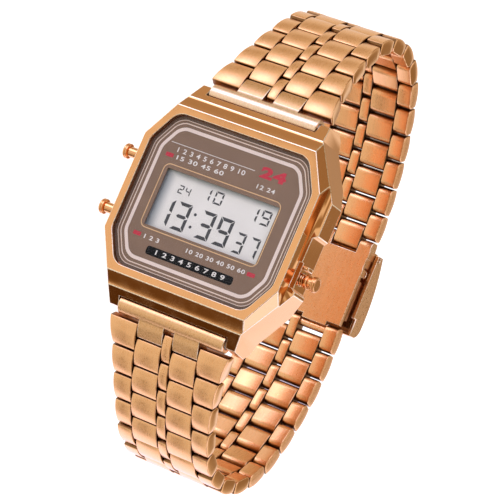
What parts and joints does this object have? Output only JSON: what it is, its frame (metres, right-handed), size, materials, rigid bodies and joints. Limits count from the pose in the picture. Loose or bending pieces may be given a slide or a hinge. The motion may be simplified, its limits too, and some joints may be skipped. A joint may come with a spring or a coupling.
{
  "type": "digital wristwatch",
  "caption": "Digital wristwatch with an octagonal case, three push buttons, and a five-piece-wide link bracelet that opens at a hinged clasp.",
  "frame": {"origin": "centre of the case back's outer face", "axes": "+Z from 9 to 3 o'clock and up, +X to 6 o'clock, -Y out of the dial, +Y out of the case back"},
  "size_m": [0.0761, 0.0488, 0.0389],
  "materials": {
    "polished_gold": "polished rose gold plating",
    "brushed_gold": "brushed rose gold plating",
    "dark_gold": "satin rose gold plating on the clasp's blade",
    "crystal": "clear mineral crystal",
    "dial": "satin taupe with thin printed lines",
    "display": "light grey display with dark segments",
    "guide": "milky light guide",
    "zebra": "striped elastomer strips",
    "frame_plastic": "moulded off-white plastic",
    "board": "green solder mask",
    "cell": "bare steel coin cell",
    "spring_steel": "bright spring steel",
    "contact": "gold-flashed spring contacts",
    "buzzer": "brass disc",
    "seal": "black rubber"
  },
  "bodies": {
    "case": {"case": "polished_gold", "crystal": "crystal", "dial_plate": "dial", "lcd_panel": "display", "light_guide": "guide", "zebra_strips": "zebra", "module_frame": "frame_plastic", "circuit_board": "board", "battery": "cell", "battery_clip": "spring_steel", "contact_tabs": "contact", "buzzer_spring": "spring_steel", "buzzer_disc": "buzzer", "back_gasket": "seal", "case_back": "brushed_gold", "back_screws": "polished_gold", "light_spring": "spring_steel", "mode_spring": "spring_steel", "start_spring": "spring_steel", "button_seals": "seal", "spring_bars": "spring_steel"},
    "button_light": {"button_light": "polished_gold"},
    "button_mode": {"button_mode": "polished_gold"},
    "button_start": {"button_start": "polished_gold"},
    "end_link_12": {"end_link_12": "brushed_gold"},
    "end_link_6": {"end_link_6": "brushed_gold"},
    "link_12_01": {"link_12_01": "brushed_gold"},
    "link_12_02": {"link_12_02": "brushed_gold"},
    "link_12_03": {"link_12_03": "brushed_gold"},
    "link_12_04": {"link_12_04": "brushed_gold"},
    "link_12_05": {"link_12_05": "brushed_gold"},
    "link_12_06": {"link_12_06": "brushed_gold"},
    "link_12_07": {"link_12_07": "brushed_gold"},
    "link_12_08": {"link_12_08": "brushed_gold"},
    "link_12_09": {"link_12_09": "brushed_gold"},
    "link_12_10": {"link_12_10": "brushed_gold"},
    "link_12_11": {"link_12_11": "brushed_gold"},
    "link_12_12": {"link_12_12": "brushed_gold"},
    "link_12_13": {"link_12_13": "brushed_gold"},
    "link_12_14": {"link_12_14": "brushed_gold"},
    "link_6_01": {"link_6_01": "brushed_gold"},
    "link_6_02": {"link_6_02": "brushed_gold"},
    "link_6_03": {"link_6_03": "brushed_gold"},
    "link_6_04": {"link_6_04": "brushed_gold"},
    "link_6_05": {"link_6_05": "brushed_gold"},
    "link_6_06": {"link_6_06": "brushed_gold"},
    "link_6_07": {"link_6_07": "brushed_gold"},
    "link_6_08": {"link_6_08": "brushed_gold"},
    "link_6_09": {"link_6_09": "brushed_gold"},
    "link_6_10": {"link_6_10": "brushed_gold"},
    "link_6_11": {"link_6_11": "brushed_gold"},
    "link_6_12": {"link_6_12": "brushed_gold"},
    "link_6_13": {"link_6_13": "brushed_gold"},
    "link_6_14": {"link_6_14": "brushed_gold"},
    "link_6_15": {"link_6_15": "brushed_gold"},
    "clasp": {"clasp_plate": "brushed_gold", "clasp_pins": "polished_gold"},
    "clasp_blade": {"clasp_blade": "dark_gold"},
    "clasp_cover": {"clasp_cover": "brushed_gold"}
  },
  "joints": [
    {"name": "bracelet_12", "type": "hinge", "parent": "case", "child": "end_link_12", "pos_m": [-0.0175, -0.0043, 0], "axis": [0, 0, 1], "range_deg": [0, 22.2]},
    {"name": "bracelet_6", "type": "hinge", "parent": "case", "child": "end_link_6", "pos_m": [0.0175, -0.0043, 0], "axis": [0, 0, -1], "range_deg": [0, 26.3]},
    {"name": "hinge_12_01", "type": "hinge", "parent": "end_link_12", "child": "link_12_01", "pos_m": [-0.02005, -0.00326, 0], "axis": [0, 0, 1], "range_deg": [0, 5.8]},
    {"name": "hinge_12_02", "type": "hinge", "parent": "link_12_01", "child": "link_12_02", "pos_m": [-0.02411, -0.0011, 0], "axis": [0, 0, 1], "range_deg": [0, 5.8]},
    {"name": "hinge_12_03", "type": "hinge", "parent": "link_12_02", "child": "link_12_03", "pos_m": [-0.02793, 0.00146, 0], "axis": [0, 0, 1], "range_deg": [0, 5.8]},
    {"name": "hinge_12_04", "type": "hinge", "parent": "link_12_03", "child": "link_12_04", "pos_m": [-0.03147, 0.00439, 0], "axis": [0, 0, 1], "range_deg": [0, 5.8]},
    {"name": "hinge_12_05", "type": "hinge", "parent": "link_12_04", "child": "link_12_05", "pos_m": [-0.0347, 0.00767, 0], "axis": [0, 0, 1], "range_deg": [0, 19.5]},
    {"name": "hinge_12_06", "type": "hinge", "parent": "link_12_05", "child": "link_12_06", "pos_m": [-0.03666, 0.01183, 0], "axis": [0, 0, 1], "range_deg": [0, 19.5]},
    {"name": "hinge_12_07", "type": "hinge", "parent": "link_12_06", "child": "link_12_07", "pos_m": [-0.0371, 0.01641, 0], "axis": [0, 0, 1], "range_deg": [0, 19.5]},
    {"name": "hinge_12_08", "type": "hinge", "parent": "link_12_07", "child": "link_12_08", "pos_m": [-0.036, 0.02087, 0], "axis": [0, 0, 1], "range_deg": [0, 19.5]},
    {"name": "hinge_12_09", "type": "hinge", "parent": "link_12_08", "child": "link_12_09", "pos_m": [-0.03347, 0.02471, 0], "axis": [0, 0, 1], "range_deg": [0, 19.5]},
    {"name": "hinge_12_10", "type": "hinge", "parent": "link_12_09", "child": "link_12_10", "pos_m": [-0.0298, 0.02749, 0], "axis": [0, 0, 1], "range_deg": [0, 6.4]},
    {"name": "hinge_12_11", "type": "hinge", "parent": "link_12_10", "child": "link_12_11", "pos_m": [-0.02584, 0.02984, 0], "axis": [0, 0, 1], "range_deg": [0, 6.4]},
    {"name": "hinge_12_12", "type": "hinge", "parent": "link_12_11", "child": "link_12_12", "pos_m": [-0.02165, 0.03173, 0], "axis": [0, 0, 1], "range_deg": [0, 6.4]},
    {"name": "hinge_12_13", "type": "hinge", "parent": "link_12_12", "child": "link_12_13", "pos_m": [-0.01727, 0.03314, 0], "axis": [0, 0, 1], "range_deg": [0, 6.4]},
    {"name": "hinge_12_14", "type": "hinge", "parent": "link_12_13", "child": "link_12_14", "pos_m": [-0.01277, 0.03406, 0], "axis": [0, 0, 1], "range_deg": [0, 6.4]},
    {"name": "hinge_clasp", "type": "hinge", "parent": "link_12_14", "child": "clasp", "pos_m": [-0.00818, 0.03447, 0], "axis": [0, 0, 1], "range_deg": [0, 3.11]},
    {"name": "hinge_6_01", "type": "hinge", "parent": "end_link_6", "child": "link_6_01", "pos_m": [0.01997, -0.00308, 0], "axis": [0, 0, -1], "range_deg": [0, 5.4]},
    {"name": "hinge_6_02", "type": "hinge", "parent": "link_6_01", "child": "link_6_02", "pos_m": [0.02388, -0.00066, 0], "axis": [0, 0, -1], "range_deg": [0, 5.4]},
    {"name": "hinge_6_03", "type": "hinge", "parent": "link_6_02", "child": "link_6_03", "pos_m": [0.02755, 0.00211, 0], "axis": [0, 0, -1], "range_deg": [0, 5.4]},
    {"name": "hinge_6_04", "type": "hinge", "parent": "link_6_03", "child": "link_6_04", "pos_m": [0.03094, 0.00522, 0], "axis": [0, 0, -1], "range_deg": [0, 5.4]},
    {"name": "hinge_6_05", "type": "hinge", "parent": "link_6_04", "child": "link_6_05", "pos_m": [0.03402, 0.00863, 0], "axis": [0, 0, -1], "range_deg": [0, 16.9]},
    {"name": "hinge_6_06", "type": "hinge", "parent": "link_6_05", "child": "link_6_06", "pos_m": [0.03598, 0.01279, 0], "axis": [0, 0, -1], "range_deg": [0, 16.9]},
    {"name": "hinge_6_07", "type": "hinge", "parent": "link_6_06", "child": "link_6_07", "pos_m": [0.03665, 0.01735, 0], "axis": [0, 0, -1], "range_deg": [0, 16.9]},
    {"name": "hinge_6_08", "type": "hinge", "parent": "link_6_07", "child": "link_6_08", "pos_m": [0.03596, 0.02189, 0], "axis": [0, 0, -1], "range_deg": [0, 16.9]},
    {"name": "hinge_6_09", "type": "hinge", "parent": "link_6_08", "child": "link_6_09", "pos_m": [0.03398, 0.02605, 0], "axis": [0, 0, -1], "range_deg": [0, 16.9]},
    {"name": "hinge_6_10", "type": "hinge", "parent": "link_6_09", "child": "link_6_10", "pos_m": [0.03088, 0.02944, 0], "axis": [0, 0, -1], "range_deg": [0, 16.9]},
    {"name": "hinge_6_11", "type": "hinge", "parent": "link_6_10", "child": "link_6_11", "pos_m": [0.02692, 0.03179, 0], "axis": [0, 0, -1], "range_deg": [0, 7.8]},
    {"name": "hinge_6_12", "type": "hinge", "parent": "link_6_11", "child": "link_6_12", "pos_m": [0.02268, 0.03358, 0], "axis": [0, 0, -1], "range_deg": [0, 7.8]},
    {"name": "hinge_6_13", "type": "hinge", "parent": "link_6_12", "child": "link_6_13", "pos_m": [0.01824, 0.03478, 0], "axis": [0, 0, -1], "range_deg": [0, 7.8]},
    {"name": "hinge_6_14", "type": "hinge", "parent": "link_6_13", "child": "link_6_14", "pos_m": [0.01368, 0.03536, 0], "axis": [0, 0, -1], "range_deg": [0, 7.8]},
    {"name": "hinge_6_15", "type": "hinge", "parent": "link_6_14", "child": "link_6_15", "pos_m": [0.00908, 0.03532, 0], "axis": [0, 0, -1], "range_deg": [0, 7.8]},
    {"name": "clasp_cover_hinge", "type": "hinge", "parent": "clasp", "child": "clasp_cover", "pos_m": [-0.00715, 0.03651, 0], "axis": [0, 0, 1], "range_deg": [0, 90]},
    {"name": "clasp_blade_hinge", "type": "hinge", "parent": "clasp", "child": "clasp_blade", "pos_m": [-0.00391, 0.03517, 0], "axis": [0, 0, 1], "range_deg": [0, 27]},
    {"name": "button_light_press", "type": "slide", "parent": "case", "child": "button_light", "axis": [0, 0, 1], "range_m": [0, 0.0007], "stiffness_N_per_m": 500, "springref_m": -0.0006, "deforming": ["light_spring"]},
    {"name": "button_mode_press", "type": "slide", "parent": "case", "child": "button_mode", "axis": [0, 0, 1], "range_m": [0, 0.0007], "stiffness_N_per_m": 500, "springref_m": -0.0006, "deforming": ["mode_spring"]},
    {"name": "button_start_press", "type": "slide", "parent": "case", "child": "button_start", "axis": [0, 0, -1], "range_m": [0, 0.0007], "stiffness_N_per_m": 500, "springref_m": -0.0006, "deforming": ["start_spring"]}
  ],
  "couplings": [
    {"joint": "hinge_12_01", "follows": "bracelet_12", "ratio": 0.26126},
    {"joint": "hinge_12_02", "follows": "bracelet_12", "ratio": 0.26126},
    {"joint": "hinge_12_03", "follows": "bracelet_12", "ratio": 0.26126},
    {"joint": "hinge_12_04", "follows": "bracelet_12", "ratio": 0.26126},
    {"joint": "hinge_12_05", "follows": "bracelet_12", "ratio": 0.87838},
    {"joint": "hinge_12_06", "follows": "bracelet_12", "ratio": 0.87838},
    {"joint": "hinge_12_07", "follows": "bracelet_12", "ratio": 0.87838},
    {"joint": "hinge_12_08", "follows": "bracelet_12", "ratio": 0.87838},
    {"joint": "hinge_12_09", "follows": "bracelet_12", "ratio": 0.87838},
    {"joint": "hinge_12_10", "follows": "bracelet_12", "ratio": 0.28829},
    {"joint": "hinge_12_11", "follows": "bracelet_12", "ratio": 0.28829},
    {"joint": "hinge_12_12", "follows": "bracelet_12", "ratio": 0.28829},
    {"joint": "hinge_12_13", "follows": "bracelet_12", "ratio": 0.28829},
    {"joint": "hinge_12_14", "follows": "bracelet_12", "ratio": 0.28829},
    {"joint": "hinge_clasp", "follows": "bracelet_12", "ratio": 0.14005},
    {"joint": "hinge_6_01", "follows": "bracelet_6", "ratio": 0.20532},
    {"joint": "hinge_6_02", "follows": "bracelet_6", "ratio": 0.20532},
    {"joint": "hinge_6_03", "follows": "bracelet_6", "ratio": 0.20532},
    {"joint": "hinge_6_04", "follows": "bracelet_6", "ratio": 0.20532},
    {"joint": "hinge_6_05", "follows": "bracelet_6", "ratio": 0.64259},
    {"joint": "hinge_6_06", "follows": "bracelet_6", "ratio": 0.64259},
    {"joint": "hinge_6_07", "follows": "bracelet_6", "ratio": 0.64259},
    {"joint": "hinge_6_08", "follows": "bracelet_6", "ratio": 0.64259},
    {"joint": "hinge_6_09", "follows": "bracelet_6", "ratio": 0.64259},
    {"joint": "hinge_6_10", "follows": "bracelet_6", "ratio": 0.64259},
    {"joint": "hinge_6_11", "follows": "bracelet_6", "ratio": 0.29658},
    {"joint": "hinge_6_12", "follows": "bracelet_6", "ratio": 0.29658},
    {"joint": "hinge_6_13", "follows": "bracelet_6", "ratio": 0.29658},
    {"joint": "hinge_6_14", "follows": "bracelet_6", "ratio": 0.29658},
    {"joint": "hinge_6_15", "follows": "bracelet_6", "ratio": 0.29658},
    {"joint": "clasp_blade_hinge", "follows": "clasp_cover_hinge", "ratio": 0.3}
  ]
}
